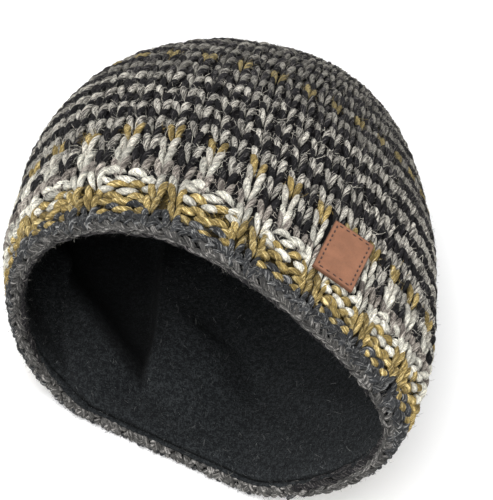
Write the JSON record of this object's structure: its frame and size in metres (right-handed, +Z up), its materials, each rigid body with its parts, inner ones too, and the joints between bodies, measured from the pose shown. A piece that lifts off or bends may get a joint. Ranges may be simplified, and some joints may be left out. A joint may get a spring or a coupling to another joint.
{
  "type": "knit beanie",
  "caption": "Chunky knitted wool beanie with a ribbed striped band, a fleece lining and a small sewn-on leather patch, lying on its back with its opening towards the front.",
  "frame": {"origin": "on the floor, under the middle of the hat's bounding box, with the hat lying on its back", "axes": "+Z up from the floor, -Y out of the opening, +Y towards the crown, +X to the side that the patch is on"},
  "size_m": [0.2354, 0.202, 0.1354],
  "materials": {
    "wool_knit": "chunky marled wool in charcoal, ochre, white, grey and black courses",
    "fleece": "matte brushed fleece",
    "leather": "smooth tan, edge-stitched"
  },
  "bodies": {
    "root": {"knit_body": "wool_knit", "lining": "fleece", "patch": "leather"}
  },
  "joints": []
}
